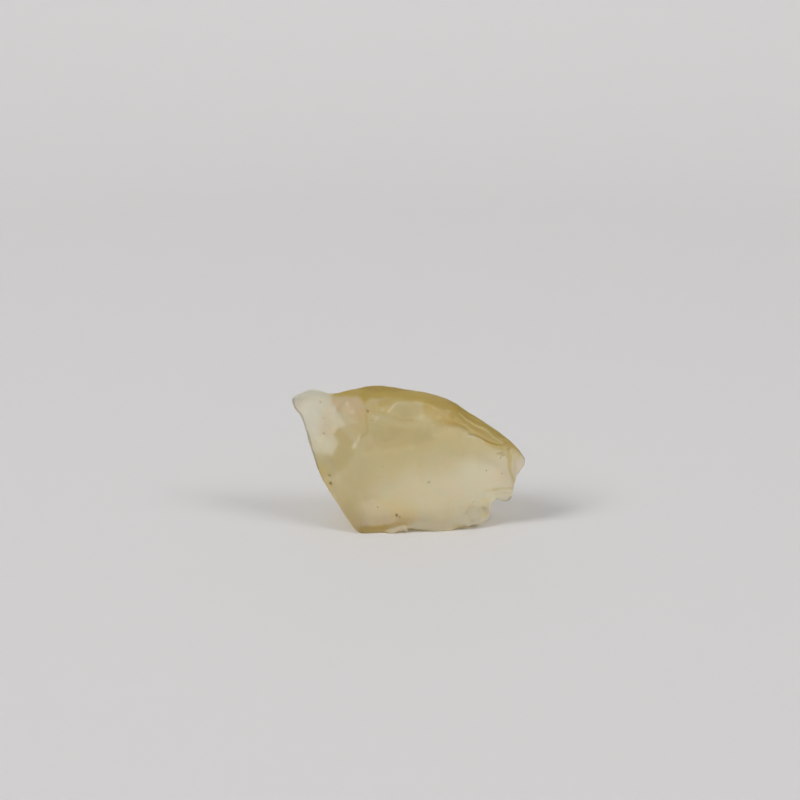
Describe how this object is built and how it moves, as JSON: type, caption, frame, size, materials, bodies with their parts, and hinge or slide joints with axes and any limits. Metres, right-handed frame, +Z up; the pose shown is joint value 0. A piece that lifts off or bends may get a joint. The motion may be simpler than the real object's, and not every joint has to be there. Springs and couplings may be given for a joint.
{
  "type": "libyan desert glass shard",
  "caption": "Pale yellow translucent natural glass shard with flake scars, worn ridges and pits, a thin upper tip and small flats underneath that it stands on.",
  "frame": {"origin": "middle of the bounding box's underside, on the surface that the shard stands on", "axes": "+X along the shard's length towards its blunt right end, -Y towards the broad front face, +Z up"},
  "size_m": [0.0284, 0.0102, 0.0164],
  "materials": {
    "yellow_glass": "translucent pale yellow natural glass, clear amber where thick, satin from wind wear"
  },
  "bodies": {
    "root": {"desert_glass": "yellow_glass"}
  },
  "joints": []
}
